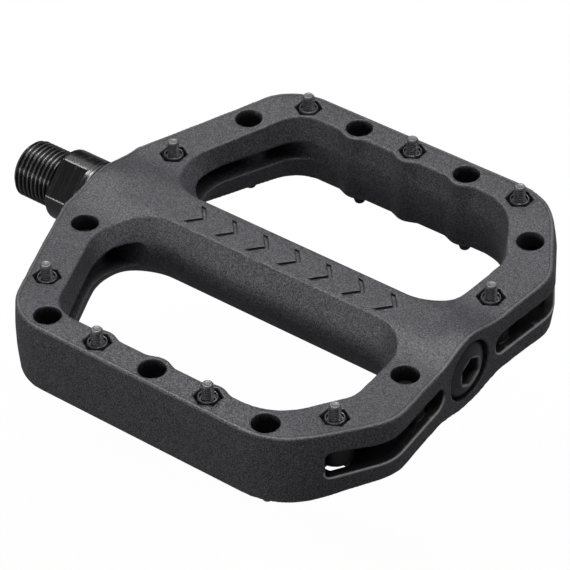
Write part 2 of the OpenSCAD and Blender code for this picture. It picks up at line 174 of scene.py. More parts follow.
def body(p, pocket=False):
    x, y, z = p[:, 0], p[:, 1], p[:, 2]
    ya, za = np.abs(y), np.abs(z)
    h = height(x, ya)
    d2 = OUTLINE(x, ya)
    # the end face beside the cap
    m = (ya < 17) & (x > 25)
    if m.any():
        d2[m] = x[m] - np.interp(ya[m], (0, 8, 12.5, 17), (50.2, 50.5, 50.78, 51.11))
    # the walls lean, except the end face
    out = sstep((x - 32) / 10)
    amp = 0.45 + 0.41 * sstep((x - 36) / 6) - 0.42 * sstep((-x - 37) / 7) * (1 - sstep((ya - 30) / 18))
    lean = amp * np.clip((za - 2.2) / 6.8, 0, None) ** 1.35 * (1 - out * (1 - sstep((ya - 24) / 10)))
    side = np.maximum(d2 + lean, -55.3 - x)
    main = rmax(side, za - h, 0.45 - 0.22 * out * (1 - sstep((ya - 8) / 6)))
    # foot windows
    t = np.clip((h - za) / (h - 2.4), 0, 1)
    tube = 1 - sstep((ya - 12) / 6)
    t = t + (np.sin(np.clip((h - za) / h, 0, 1) * math.pi / 2) - t) * tube
    wt, wm = WIN_TOP(x, ya), WIN_MID(x, ya)
    w = wt + (wm - wt) * t
    for cx in (-15.5, 0.0, 15.5):
        w = rmax(w, 4.45 + 0.4 * t - np.hypot(x - cx, ya - 48.9), 0.85)
    main = rmax(main, -w, 0.36)
    # pockets in the outer-side rail
    hs = 3.0 + 1.15 * sstep((ya - 34) / 10) * (y * z < 0)
    plan = np.maximum(-(d2 + 8.4), 36 - x)
    end = np.where(y > 0, 48.0, 44.8)
    opening = np.maximum(plan, np.maximum(rmax(10.0 - ya, za - hs, 2.9), rmax(ya - end, za - hs, 1.7)))
    inner = np.maximum(np.maximum(np.maximum(plan, ya - 44.8), np.maximum(13 - ya, za - 4.3)), d2 + 2.4)
    cut = np.minimum(opening, inner)
    # pockets in the crank-side rail
    hc = 2.5 + 0.85 * sstep((24 - ya) / 9)
    c2 = rmax(rmax(d2 + 3.2, 10.4 - ya, 1.5), np.maximum(x + 22, ya - 44.6), 1.5)
    cut2 = rmax(c2, za - hc, 0.8)
    if pocket:
        return cut, cut2, -d2, side
    near = np.minimum(cut, cut2) < 3
    if near.any():
        c = np.minimum(cut, cut2)[near]
        xs, ys, zs = x[near], y[near], z[near]
        for px, py, ph in CRANK + OUTER:
            for s in (1, -1):
                r = np.hypot(xs - px, ys - s * py) - 4.3
                col = rmax(r, -2.15 - s * zs, 0.12) if abs(py) > 20 else r
                c = rmax(c, -col, 0.3)
        full = np.minimum(cut, cut2)
        full[near] = c
        main = rmax(main, -full, 0.26)
    # chevrons
    m = (ya < 4.4) & (np.abs(x) < 36) & (za > 7)
    if m.any():
        cv = np.maximum(chevrons(x[m], y[m]), (h[m] - 0.5) - za[m])
        main[m] = rmax(main[m], -cv, 0.06)
    # pin bores, access holes and nut pockets
    for px, py, ph in PINS:
        for s in (1, -1):
            m = (np.abs(x - px) < 4.8) & (np.abs(y - s * py) < 4.8)
            if not m.any():
                continue
            dx, dy, dz = x[m] - px, s * (y[m] - s * py), s * z[m]
            r = np.hypot(dx, dy)
            seat = ph + STAND - PIN_LEN
            acc = np.maximum(r - 3.25, dz - seat)
            hx = np.maximum(hexagon(dy, dx, 6.0), (ph - 3.5) - dz)
            sh = np.maximum(r - 1.6, seat - 1 - dz)
            v = rmax(main[m], -acc, 0.22)
            v = rmax(v, -hx, 0.10)
            main[m] = np.maximum(v, -sh)
    # axle bore
    r = np.hypot(y, z)
    b = None
    for x0, x1, rb in BORES:
        q = np.maximum(r - rb, np.maximum(x0 - x, x - x1))
        b = q if b is None else np.minimum(b, q)
    return rmax(main, -b, 0.3)


# ---------------------------------------------------------------- meshing
def dual_contour(f, lo, hi, h):
    """closed quad mesh of f = 0 with edges and corners kept"""
    lo = np.array(lo, float)
    n = [int(math.ceil((b - a) / h)) + 1 for a, b in zip(lo, hi)]
    ax = [lo[i] + h * np.arange(n[i]) for i in range(3)]
    V = np.empty(n, np.float32)
    for i in range(0, n[0], 12):
        g = np.stack(np.meshgrid(ax[0][i:i + 12], ax[1], ax[2], indexing="ij"), -1)
        V[i:i + 12] = f(g.reshape(-1, 3)).reshape(g.shape[:3])
    neg = V < 0
    P, N, C, F = [], [], [], []
    dims = np.array([n[0] - 1, n[1] - 1, n[2] - 1])
    for a in range(3):
        s0 = [slice(None)] * 3
        s1 = [slice(None)] * 3
        s0[a], s1[a] = slice(None, -1), slice(1, None)
        cross = neg[tuple(s0)] != neg[tuple(s1)]
        idx = np.argwhere(cross)
        b, c = (a + 1) % 3, (a + 2) % 3
        ok = (idx[:, b] > 0) & (idx[:, c] > 0) & (idx[:, b] < dims[b]) & (idx[:, c] < dims[c])
        idx = idx[ok]
        i1 = idx.copy()
        i1[:, a] += 1
        v0 = V[tuple(idx.T)].astype(float)
        v1 = V[tuple(i1.T)].astype(float)
        p0 = lo + idx * h
        t0, t1 = np.zeros(len(idx)), np.ones(len(idx))
        w0, w1 = v0.copy(), v1.copy()
        for _ in range(4):
            t = t0 + (t1 - t0) * np.clip(w0 / (w0 - w1), 0.03, 0.97)
            q = p0.copy()
            q[:, a] += t * h
            v = f(q)
            same = (v < 0) == (w0 < 0)
            t0, w0 = np.where(same, t, t0), np.where(same, v, w0)
            t1, w1 = np.where(same, t1, t), np.where(same, w1, v)
        t = t0 + (t1 - t0) * (w0 / (w0 - w1))
        q = p0.copy()
        q[:, a] += t * h
        e = 0.012
        g = np.empty_like(q)
        for k in range(3):
            d = np.zeros(3)
            d[k] = e
            g[:, k] = f(q + d) - f(q - d)
        g /= np.maximum(np.linalg.norm(g, axis=1, keepdims=True), 1e-9)
        ids = []
        for db, dc in ((-1, -1), (0, -1), (0, 0), (-1, 0)):
            j = idx.copy()
            j[:, b] += db
            j[:, c] += dc
            cid = (j[:, 0] * dims[1] + j[:, 1]) * dims[2] + j[:, 2]
            ids.append(cid)
            P.append(q)
            N.append(g)
            C.append(cid)
        quad = np.stack(ids, 1)
        flip = ~(neg[tuple(idx.T)])
        quad[flip] = quad[flip][:, ::-1]
        F.append(quad)
    P, N, C, F = np.concatenate(P), np.concatenate(N), np.concatenate(C), np.concatenate(F)
    cells, inv = np.unique(C, return_inverse=True)
    m = len(cells)
    cnt = np.bincount(inv, minlength=m).astype(float)
    mass = np.stack([np.bincount(inv, P[:, k], m) for k in range(3)], 1) / cnt[:, None]
    d = (N * (P - mass[inv])).sum(1)
    A = np.empty((m, 3, 3))
    B = np.empty((m, 3))
    for i in range(3):
        B[:, i] = np.bincount(inv, N[:, i] * d, m)
        for j in range(i, 3):
            A[:, i, j] = A[:, j, i] = np.bincount(inv, N[:, i] * N[:, j], m)
    w, U = np.linalg.eigh(A)
    keep = w > 0.07 * w[:, 2:3]
    wi = np.where(keep, 1 / np.maximum(w, 1e-9), 0)
    sol = np.einsum("nij,nj,nkj,nk->ni", U, wi, U, B)
    ci = np.stack([cells // (dims[1] * dims[2]), (cells // dims[2]) % dims[1], cells % dims[2]], 1)
    base = lo + ci * h
    vert = np.clip(mass + sol, base, base + h)
    return vert, np.searchsorted(cells, F)


def mesh_object(name, verts, faces, mat, bodyname, stands, sharp=None, smooth=True):
    """verts in mm about the platform's middle -> object in the row frame"""
    me = bpy.data.meshes.new(name)
    v = np.asarray(verts, float).copy()
    v[:, 0] += PC
    v *= MM
    if isinstance(faces, np.ndarray):
        k = faces.shape[1]
        me.vertices.add(len(v))
        me.vertices.foreach_set("co", v.astype(np.float32).ravel())
        me.loops.add(faces.size)
        me.loops.foreach_set("vertex_index", faces.astype(np.int32).ravel())
        me.polygons.add(len(faces))
        me.polygons.foreach_set("loop_start", np.arange(0, faces.size, k, dtype=np.int32))
        me.update(calc_edges=True)
    else:
        me.from_pydata(v.tolist(), [], [list(map(int, f)) for f in faces])
    me.validate()
    if smooth:
        me.polygons.foreach_set("use_smooth", np.ones(len(me.polygons), bool))
        if sharp:
            me.set_sharp_from_angle(angle=math.radians(sharp))
    me.update()
    o = bpy.data.objects.new(name, me)
    bpy.context.scene.collection.objects.link(o)
    me.materials.append(mat)
    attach(o, bodyname)
    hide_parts(*stands)
    return o


class Lathe:
    """rings of points round an axis, joined into a closed surface"""

    def __init__(self, n):
        self.n, self.rings = n, []
        self.th = np.arange(n) * 2 * math.pi / n

    def ring(self, s, r):
        """ring at station s with radius r (number or one per angle)"""
        self.rings.append((s, np.broadcast_to(np.asarray(r, float), (self.n,)).copy()))
        return self

    def build(self):
        V, F, n = [], [], self.n
        first, last = self.rings[0], self.rings[-1]
        for s, r in self.rings:
            V.append(np.stack([np.broadcast_to(np.asarray(s, float), (n,)), r * np.cos(self.th), r * np.sin(self.th)], 1))
        V = np.concatenate(V)
        k = np.arange(n)
        k2 = (k + 1) % n
        quads = [np.stack([i * n + k, (i + 1) * n + k, (i + 1) * n + k2, i * n + k2], 1)
                 for i in range(len(self.rings) - 1)]
        Q = np.concatenate(quads)
        c0, c1 = len(V), len(V) + 1
        V = np.concatenate([V, [[float(np.mean(first[0])), 0, 0]], [[float(np.mean(last[0])), 0, 0]]])
        F = Q.tolist()
        F += [[c0, int(a), int(b)] for a, b in zip(k, k2)]
        o = (len(self.rings) - 1) * n
        F += [[c1, int(o + b), int(o + a)] for a, b in zip(k, k2)]
        return V, F


def hex_r(th, af, turn=0.0):
    """radius of a hexagon, across flats af, at each angle; corner on turn"""
    t = (th - turn + math.pi / 6) % (math.pi / 3) - math.pi / 6
    return af / 2 / np.cos(math.pi / 6 - np.abs(t))


def join(parts):
    V, F, o = [], [], 0
    for v, f in parts:
        V.append(v)
        F += [[i + o for i in q] for q in f]
        o += len(v)
    return np.concatenate(V), F


def upright(v):
    """lathe axis X -> Z"""
    return np.stack([v[:, 1], v[:, 2], v[:, 0]], 1)


def turned(v):
    """half a turn about the spindle axis"""
    return v * np.array([1.0, -1.0, -1.0])


def loop_normals(me, f, step=0.07):
    """exact shading normals of a mesh that follows f = 0, sharp edges kept"""
    nv, nl, nf = len(me.vertices), len(me.loops), len(me.polygons)
    co = np.empty(nv * 3, np.float32)
    me.vertices.foreach_get("co", co)
    co = co.reshape(-1, 3).astype(float) / MM
    co[:, 0] -= PC
    vi = np.empty(nl, np.int32)
    me.loops.foreach_get("vertex_index", vi)
    tot = np.empty(nf, np.int32)
    me.polygons.foreach_get("loop_total", tot)
    cen = np.empty(nf * 3, np.float32)
    me.polygons.foreach_get("center", cen)
    cen = cen.reshape(-1, 3).astype(float) / MM
    cen[:, 0] -= PC
    fn = np.empty(nf * 3, np.float32)
    me.polygons.foreach_get("normal", fn)
    fn = fn.reshape(-1, 3).astype(float)
    of = np.repeat(np.arange(nf), tot)
    p = co[vi]
    d = cen[of] - p
    ln = np.linalg.norm(d, axis=1, keepdims=True)
    p = p + d / np.maximum(ln, 1e-9) * np.minimum(ln * 0.45, step)
    g = np.empty_like(p)
    for a in range(0, len(p), 200000):
        q = p[a:a + 200000]
        for k in range(3):
            e = np.zeros(3)
            e[k] = 0.015
            g[a:a + 200000, k] = f(q + e) - f(q - e)
    g /= np.maximum(np.linalg.norm(g, axis=1, keepdims=True), 1e-9)
    bad = (g * fn[of]).sum(1) < 0.5
    g[bad] = fn[of][bad]
    me.normals_split_custom_set(g.astype(np.float32).tolist())


# ---------------------------------------------------------------- materials
class Nodes:
    """a Principled material and short calls to build its nodes"""

    def __init__(self, name):
        self.m = bpy.data.materials.new(name)
        self.m.use_nodes = True
        self.t = self.m.node_tree
        self.b = self.t.nodes["Principled BSDF"]
        self.co = self.t.nodes.new("ShaderNodeTexCoord").outputs["Object"]

    def new(self, kind, **props):
        n = self.t.nodes.new(kind)
        for k, v in props.items():
            setattr(n, k, v)
        return n

    def link(self, a, b):
        self.t.links.new(a, b)

    def put(self, socket, v):
        if isinstance(v, (int, float)):
            socket.default_value = v
        elif isinstance(v, (tuple, list)):
            socket.default_value = tuple(v) + ((1.0,) if len(v) == 3 and len(socket.default_value) == 4 else ())
        else:
            self.link(v, socket)

    def noise(self, scale, detail=2.0, rough=0.5, co=None, stretch=None):
        n = self.new("ShaderNodeTexNoise")
        src = co or self.co
        if stretch:
            mp = self.new("ShaderNodeMapping")
            mp.inputs["Scale"].default_value = stretch
            self.link(src, mp.inputs["Vector"])
            src = mp.outputs["Vector"]
        self.link(src, n.inputs["Vector"])
        n.inputs["Scale"].default_value = scale
        n.inputs["Detail"].default_value = detail
        n.inputs["Roughness"].default_value = rough
        return n.outputs["Fac"]

    def cells(self, scale, feature="F1"):
        n = self.new("ShaderNodeTexVoronoi", feature=feature)
        self.link(self.co, n.inputs["Vector"])
        n.inputs["Scale"].default_value = scale
        return n.outputs["Distance"]

    def remap(self, v, a, b, c, d, smooth=False):
        n = self.new("ShaderNodeMapRange", interpolation_type="SMOOTHSTEP" if smooth else "LINEAR")
        for i, x in enumerate((v, a, b, c, d)):
            self.put(n.inputs[i], x)
        return n.outputs["Result"]

    def math(self, op, a, b=0.0, c=0.0):
        n = self.new("ShaderNodeMath", operation=op)
        for i, x in enumerate((a, b, c)):
            self.put(n.inputs[i], x)
        return n.outputs[0]

    def mix(self, f, a, b):
        n = self.new("ShaderNodeMix", data_type="RGBA")
        self.put(n.inputs[0], f)
        self.put(n.inputs[6], a)
        self.put(n.inputs[7], b)
        return n.outputs[2]

    def bump(self, h, strength, dist, normal=None):
        n = self.new("ShaderNodeBump")
        self.put(n.inputs["Height"], h)
        n.inputs["Strength"].default_value = strength
        n.inputs["Distance"].default_value = dist
        if normal:
            self.link(normal, n.inputs["Normal"])
        return n.outputs["Normal"]

    def attr(self, name):
        return self.new("ShaderNodeAttribute", attribute_name=name).outputs["Fac"]

    def out(self, **kw):
        names = {"color": "Base Color", "metal": "Metallic", "rough": "Roughness", "normal": "Normal",
                 "spec": "Specular IOR Level", "coat": "Coat Weight", "coat_rough": "Coat Roughness", "ior": "IOR"}
        for k, v in kw.items():
            self.put(self.b.inputs[names[k]], v)
        return self.m


LOW, HIGH = (0.0186, 0.0179, 0.0215), (0.0830, 0.0805, 0.0925)


def nylon():
    """glass-filled nylon off a spark-eroded mould: crisp salt-and-pepper grain; edges lighter, partly rubbed wear and
    partly painted highlight; painted shade and painted highlight lines
    """
    n = Nodes("moulded_nylon_grain")
    fine = n.noise(2150, 2.0, 0.6)
    tiny = n.noise(4300, 1.0, 0.5)
    pits = n.cells(2000)
    big = n.noise(70, 3.0, 0.55)
    g = n.math("ADD", n.math("MULTIPLY", fine, 0.62), n.math("MULTIPLY", tiny, 0.38))
    spark = n.remap(g, 0.42, 0.60, 0.0, 1.0, True)
    c = n.mix(spark, LOW, HIGH)
    fleck = n.remap(n.noise(2900, 1.0, 0.5), 0.58, 0.68, 0.0, 0.62, True)
    c = n.mix(fleck, c, (0.165, 0.161, 0.180))
    c = n.mix(n.remap(big, 0.35, 0.7, 0.0, 0.08), c, (0.066, 0.065, 0.070))
    # edges lighter: partly rubbed wear, partly a painted highlight on the rounded edges
    wear_and_highlight = n.math("MULTIPLY", n.attr("edge"), n.remap(n.noise(700, 3.0, 0.6), 0.35, 0.62, 0.45, 1.0))
    c = n.mix(n.math("MULTIPLY", wear_and_highlight, 0.30), c, (0.135, 0.134, 0.142))
    # painted highlight line and painted shade line for a hairline step that runs round the faces just inside their
    # outer edge
    geo = n.new("ShaderNodeNewGeometry")
    nz = n.new("ShaderNodeSeparateXYZ")
    n.link(geo.outputs["True Normal"], nz.inputs[0])
    flat = n.remap(n.math("ABSOLUTE", nz.outputs[2]), 0.90, 0.97, 0.0, 1.0)
    wall = n.attr("wall")
    groove_shade = n.remap(n.math("ABSOLUTE", n.math("ADD", wall, 0.98)), 0.07, 0.20, 1.0, 0.0, True)
    crest = n.remap(n.math("ABSOLUTE", n.math("ADD", wall, 0.52)), 0.10, 0.30, 1.0, 0.0, True)
    c = n.mix(n.math("MULTIPLY", n.math("MULTIPLY", crest, flat), 0.30), c, (0.175, 0.174, 0.182))
    c = n.mix(n.math("MULTIPLY", n.math("MULTIPLY", groove_shade, flat), 0.72), c, (0.010, 0.010, 0.011))
    # painted shade in the pockets, the pin bores and nut pockets, and the axle bore
    c = n.mix(n.math("MULTIPLY", n.attr("deep"), 0.90), c, (0.003, 0.003, 0.0033))
    # painted highlight line along the lower lip of the outer pockets
    lip = n.remap(n.attr("lip"), 0.22, 0.52, 1.0, 0.0, True)
    c = n.mix(n.math("MULTIPLY", lip, 0.85), c, (0.34, 0.338, 0.345))
    # painted shade line along the walls of the sunk chevrons
    xyz = n.new("ShaderNodeSeparateXYZ")
    n.link(n.co, xyz.inputs[0])
    x = n.math("SUBTRACT", n.math("MULTIPLY", xyz.outputs[0], 1000.0), PC + 2.0)
    u = n.math("SUBTRACT", n.math("MODULO", n.math("ADD", x, 94.5), 9.0), 4.5)
    v = n.math("ABSOLUTE", n.math("MULTIPLY", xyz.outputs[1], 1000.0))
    s = n.math("ADD", n.math("SUBTRACT", u, 1.7), n.math("MULTIPLY", v, 3.0 / 3.4))
    d = n.math("MAXIMUM", n.math("MULTIPLY", n.math("MAXIMUM", s, n.math("SUBTRACT", -1.3, s)), 0.75),
               n.math("SUBTRACT", v, 3.4))
    d = n.math("MAXIMUM", d, n.math("SUBTRACT", n.math("ABSOLUTE", x), 31.0))
    line = n.remap(n.math("ABSOLUTE", n.math("ADD", d, 0.10)), 0.06, 0.24, 1.0, 0.0, True)
    face = n.remap(n.math("ABSOLUTE", xyz.outputs[2]), 0.0074, 0.0078, 0.0, 1.0)
    c = n.mix(n.math("MULTIPLY", n.math("MULTIPLY", line, face), 0.88), c, (0.004, 0.004, 0.0043))
    h = n.math("ADD", n.math("MULTIPLY", g, 1.0), n.math("MULTIPLY", pits, -0.28))
    bump = n.bump(h, 0.8, 0.00011)
    bump = n.bump(big, 0.05, 0.0008, bump)
    r = n.remap(g, 0.3, 0.7, 0.60, 0.38)
    return n.out(color=c, rough=r, normal=bump, spec=0.5)


def black_steel(name, base, rough, metal=0.0, spec=0.9, scratch=0.12, across=None, worn_lit_edge=0.16):
    """blackened steel: fine turning marks round the axis, faint mottle, small scuffs; painted shade where root is set;
    edges lighter, partly wear and partly painted highlight
    """
    n = Nodes(name)
    lines = n.noise(1, 2.0, 0.5, stretch=across or (2600, 60, 60))
    mot = n.noise(240, 4.0, 0.6)
    scuff = n.remap(n.noise(1, 3.0, 0.7, stretch=(900, 160, 260)), 0.60, 0.72, 0.0, 1.0, True)
    lo = tuple(v * 0.72 for v in base)
    hi = tuple(v * 1.5 for v in base)
    c = n.mix(n.remap(mot, 0.3, 0.7, 0, 1), lo, hi)
    wear_and_highlight = n.math("MULTIPLY", n.attr("edge"), n.remap(mot, 0.35, 0.6, 0.3, 1.0))
    # painted shade where root is set: thread roots, sockets, bores and the parts hidden in the platform
    c = n.mix(n.math("MULTIPLY", n.attr("root"), 0.8), c, tuple(v * 0.25 for v in base))
    # edges lighter: partly rubbed wear, partly painted highlight; the end cap's value is a bright painted highlight
    c = n.mix(n.math("MULTIPLY", wear_and_highlight, 0.5), c, (worn_lit_edge, worn_lit_edge, worn_lit_edge * 1.03))
    c = n.mix(n.math("MULTIPLY", scuff, scratch), c, (0.14, 0.14, 0.145))
    r = n.math("ADD", n.remap(lines, 0.3, 0.7, rough - 0.05, rough + 0.07), n.math("MULTIPLY", scuff, 0.12))
    bump = n.bump(lines, 0.03, 0.00003)
    bump = n.bump(mot, 0.03, 0.0001, bump)
    return n.out(color=c, rough=r, normal=bump, spec=spec, metal=metal)


def pin_steel():
    """zinc-phosphated screw steel, painted shade in the thread roots and on the head, paler at the cut tip where the
    steel shows
    """
    n = Nodes("pin_steel_grey")
    mot = n.noise(1100, 4.0, 0.62)
    line = n.noise(1, 2.0, 0.5, stretch=(300, 300, 4800))
    c = n.mix(n.remap(mot, 0.32, 0.68, 0, 1), (0.10, 0.10, 0.11), (0.21, 0.21, 0.225))
    # painted shade in the thread roots and on the head
    c = n.mix(n.math("MULTIPLY", n.attr("root"), 0.95), c, (0.012, 0.012, 0.013))
    c = n.mix(n.math("MULTIPLY", n.attr("tip"), n.remap(mot, 0.3, 0.6, 0.3, 0.8)), c, (0.20, 0.20, 0.21))
    r = n.remap(mot, 0.3, 0.7, 0.46, 0.34)
    return n.out(color=c, rough=r, metal=0.45, normal=n.bump(n.math("ADD", mot, line), 0.2, 0.00006))


def plain(name, lo, hi, rough, metal=0.0, scale=600, bump=0.1, spec=0.5, stretch=None):
    """a base material with mottle, matching roughness change and a fine surface"""
    n = Nodes(name)
    a = n.noise(scale, 4.0, 0.6) if not stretch else n.noise(1, 3.0, 0.6, stretch=stretch)
    b = n.noise(scale * 0.21, 3.0, 0.5)
    f = n.math("ADD", n.math("MULTIPLY", a, 0.6), n.math("MULTIPLY", b, 0.4))
    c = n.mix(n.remap(f, 0.34, 0.66, 0, 1), lo, hi)
    r = n.remap(f, 0.3, 0.7, rough + 0.07, rough - 0.06)
    return n.out(color=c, rough=r, metal=metal, spec=spec, normal=n.bump(f, bump, 0.00008))


M_NYLON = nylon()
M_SPINDLE = black_steel("black_oxide_turned", (0.0085, 0.0085, 0.0092), 0.23, spec=0.95)
M_CAP = black_steel("end_cap_black_satin", (0.021, 0.021, 0.024), 0.38, spec=0.7, scratch=0.08, worn_lit_edge=0.62)
M_NUT = black_steel("nut_black_oxide", (0.010, 0.010, 0.0105), 0.26, spec=1.0, scratch=0.2, across=(60, 60, 4200))
M_PIN = pin_steel()
M_BRONZE = plain("bushing_bronze_sintered", (0.30, 0.20, 0.085), (0.52, 0.38, 0.19), 0.36, 0.9, 1500, 0.25)
M_BEARING = plain("bearing_steel_ground", (0.42, 0.425, 0.44), (0.62, 0.625, 0.64), 0.18, 1.0, 800, 0.06,
                  stretch=(6000, 120, 120))
M_PLATED = plain("zinc_plated_steel", (0.30, 0.305, 0.32), (0.52, 0.53, 0.55), 0.32, 0.95, 700, 0.12)
M_CAGE = plain("cage_polymer_amber", (0.30, 0.20, 0.08), (0.46, 0.33, 0.15), 0.48, 0.0, 900, 0.12)
M_RUBBER = plain("seal_rubber_black", (0.008, 0.008, 0.008), (0.022, 0.022, 0.023), 0.62, 0.0, 1100, 0.3)

for node, m in (("crank_bushing", M_BRONZE), ("dust_seal", M_RUBBER), ("bearing_outer_race", M_BEARING),
                ("bearing_inner_race", M_BEARING), ("bearing_cage", M_CAGE), ("bearing_balls", M_BEARING),
                ("bearing_shield_inboard", M_RUBBER), ("bearing_shield_outboard", M_RUBBER),
                ("washer", M_PLATED), ("lock_nut", M_PLATED), ("cap_o_ring", M_RUBBER)):
    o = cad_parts[node]
    o.data.materials.clear()
    o.data.materials.append(m)


def set_attr(me, name, values):
    a = me.attributes.new(name, "FLOAT", "POINT")
    a.data.foreach_set("value", np.asarray(values, np.float32))


# ---------------------------------------------------------------- platform body
H = 0.45
verts, quads = dual_contour(body, (-56.5, -55, -10.6), (53.5, 55, 10.6), H)
platform = mesh_object("platform_moulding", verts, quads, M_NYLON, "platform", ["platform_body"])
limit = 190000
if len(quads) * 2 > limit:
    d = platform.modifiers.new("thin", "DECIMATE")
    d.ratio = limit / (len(quads) * 2)
    dg = bpy.context.evaluated_depsgraph_get()
    me = bpy.data.meshes.new_from_object(platform.evaluated_get(dg))
    platform.modifiers.clear()
    old = platform.data
    platform.data = me
    bpy.data.meshes.remove(old)
    me.name = "platform_moulding"
me = platform.data
co = np.empty(len(me.vertices) * 3, np.float32)
me.vertices.foreach_get("co", co)
co = co.reshape(-1, 3).astype(float) / MM
co[:, 0] -= PC
# how far each point stands out from the mean of the solid round it: edges and rims
e_ = np.zeros(len(co))
for k, d in enumerate(((1, 0, 0), (-1, 0, 0), (0, 1, 0), (0, -1, 0), (0, 0, 1), (0, 0, -1))):
    e_ += body(co + np.array(d) * 0.5)
edge = np.clip((e_ / 6) / 0.2, 0, 1)
set_attr(me, "edge", edge ** 1.5)
slot_o, slot_c, dep, wall = body(co, True)
# deep marks painted shade: the outer pockets, faintly the crank pockets, the pin bores and nut pockets, and the axle
# bore beside the cap
deep = np.maximum(np.where(slot_o < 0.22, sstep((dep - 0.08) / 0.6), 0.0), 0.2 * np.where(slot_c < 0.25, sstep((dep - 2.9) / 2.0), 0.0))
for px, py, ph in PINS:
    for q in (1, -1):
        r = np.hypot(co[:, 0] - px, co[:, 1] - q * py)
        deep = np.maximum(deep, (r < 3.42) * sstep((ph - np.abs(co[:, 2]) - 0.2) / 1.2))
r = np.hypot(co[:, 1], co[:, 2])
deep = np.maximum(deep, (r < 7.7) * sstep((50.3 - co[:, 0]) / 0.5) * (co[:, 0] > 40))
set_attr(me, "deep", deep)
set_attr(me, "wall", np.clip(wall, -4, 4))
# lip: distance from the lower lip of the outer pockets, where a painted highlight line is drawn
set_attr(me, "lip", np.clip(np.where(co[:, 2] < 0, np.hypot(slot_o, np.minimum(dep, 3.0)), 4.0), -4, 4))
loop_normals(me, body)

# ---------------------------------------------------------------- spindle
PITCH, MAJOR = 1.27, 7.144


def thread(s, th, pitch, crest=0.13, root=0.13):
    """0 on the crest, 1 in the root, of a right-hand thread along s"""
    u = (s / pitch - th / (2 * math.pi)) % 1.0
    d = np.abs((u + 0.5) % 1.0 - 0.5) * 2
    t = np.clip((d - crest) / (1 - crest - root), 0, 1)
    return t + 0.06 * np.sin(2 * math.pi * t) * -1


NS = 168
sp = Lathe(NS)
L0 = THREAD_X0 - SHOULDER          # -11.6, from the shoulder
step = PITCH / 20
sp.ring(L0 + 1.5, 0.12)            # lathe centre in the end face
sp.ring(L0 + 1.25, 0.55)
sp.ring(L0 + 0.18, 1.35)
sp.ring(L0, 1.65)
sp.ring(L0, 5.9)
k = 0
s = L0 + 0.12
while s < -0.62:
    fade = min(1.0, max(0.0, (-0.55 - s) / 0.5))
    r = MAJOR - 0.70 * thread(s, sp.th, PITCH)
    r = r + (6.42 - r) * (1 - fade)
    r = np.minimum(r, 6.0 + (s - L0) * 0.95)
    sp.ring(s, r)
    s += step
sp.ring(-0.55, 6.42)
sp.ring(-0.2, 6.42)
sp.ring(-0.06, 6.5)
sp.ring(0.0, 6.66)
CR = _shi.y / MM                   # collar radius
COL = (_lo.x / MM) - 0.5
flat = np.minimum(CR, 7.5 / np.maximum(np.abs(np.cos(sp.th - math.radians(135))), 1e-3))


# shoulder chamfer, flats, then the plain ring beside the platform
sp.ring(0.0, np.minimum(flat - 0.22, CR - 0.30))
sp.ring(0.08, np.minimum(flat - 0.08, CR - 0.16))
sp.ring(0.22, np.minimum(flat, CR - 0.04))
sp.ring(0.38, np.minimum(flat, CR))
for s in (1.2, 3.0, 5.0, 7.0, 7.75):
    sp.ring(s, flat)
# the cutter's radius where the flats end
for i in range(1, 7):
    a = i / 6
    sp.ring(7.75 + 0.35 * math.sin(a * math.pi / 2), np.minimum(CR, flat + 0.35 * (1 - math.cos(a * math.pi / 2))))
sp.ring(8.1, np.full(NS, CR - 0.10))
sp.ring(8.2, np.full(NS, CR))
sp.ring(9.05, CR)
sp.ring(9.12, CR - 0.10)
sp.ring(9.3, CR - 0.10)
sp.ring(9.37, CR)
sp.ring(COL - 0.30, CR)
sp.ring(COL - 0.10, CR - 0.09)
sp.ring(COL, CR - 0.30)
B0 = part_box("crank_bushing")[0].x / MM
B1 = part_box("crank_bushing")[1].x / MM
R0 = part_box("bearing_inner_race")[0].x / MM
R1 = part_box("bearing_inner_race")[1].x / MM
for s, r in ((COL, 7.35), (COL + 0.15, 7.2), (B0 - 0.3, 7.2), (B0 - 0.3, 6.1), (B0 - 0.2, 5.97), (B1 + 0.5, 5.97),
             (B1 + 1.5, 5.3), (R0 - 6, 4.6), (R0 - 0.1, 4.6), (R0, 4.5), (R0, 3.5), (R1 - 0.3, 3.5), (R1 - 0.2, 3.0)):
    sp.ring(s, r)
e1 = _shi.x / MM
s = R1
while s < e1 - 0.5:
    sp.ring(s, 3.0 - 0.28 * thread(s, sp.th, 1.0))
    s += 0.125
sp.ring(e1 - 0.35, 2.75)
sp.ring(e1, 2.4)
v, f = sp.build()
v[:, 0] += SHOULDER


def recalc(me):
    import bmesh
    bm = bmesh.new()
    bm.from_mesh(me)
    bmesh.ops.recalc_face_normals(bm, faces=bm.faces)
    bm.to_mesh(me)
    bm.free()


def turned_piece(name, v, f, mat, bodyname, stands, sharp=32):
    o = mesh_object(name, v, f, mat, bodyname, stands)
    recalc(o.data)
    o.data.set_sharp_from_angle(angle=math.radians(sharp))
    return o


spindle = turned_piece("spindle_turned", v, f, M_SPINDLE, "spindle", ["spindle"], 38)
rr = np.hypot(v[:, 1], v[:, 2])
ss = v[:, 0] - SHOULDER
# edge: thread crests and a band of the collar painted lighter, partly wear and partly painted highlight; root: painted
# shade in the thread roots and on the part inside the platform
crest = ((ss < -0.9) & (rr > MAJOR - 0.14)) * 0.85 + ((ss > 8.15) & (ss < COL)) * 0.12
set_attr(spindle.data, "edge", crest)
set_attr(spindle.data, "root", ((ss < -0.5) & (ss > L0 + 0.1)) * np.clip((MAJOR - 0.15 - rr) / 0.4, 0, 1) + (ss > COL - 0.5))

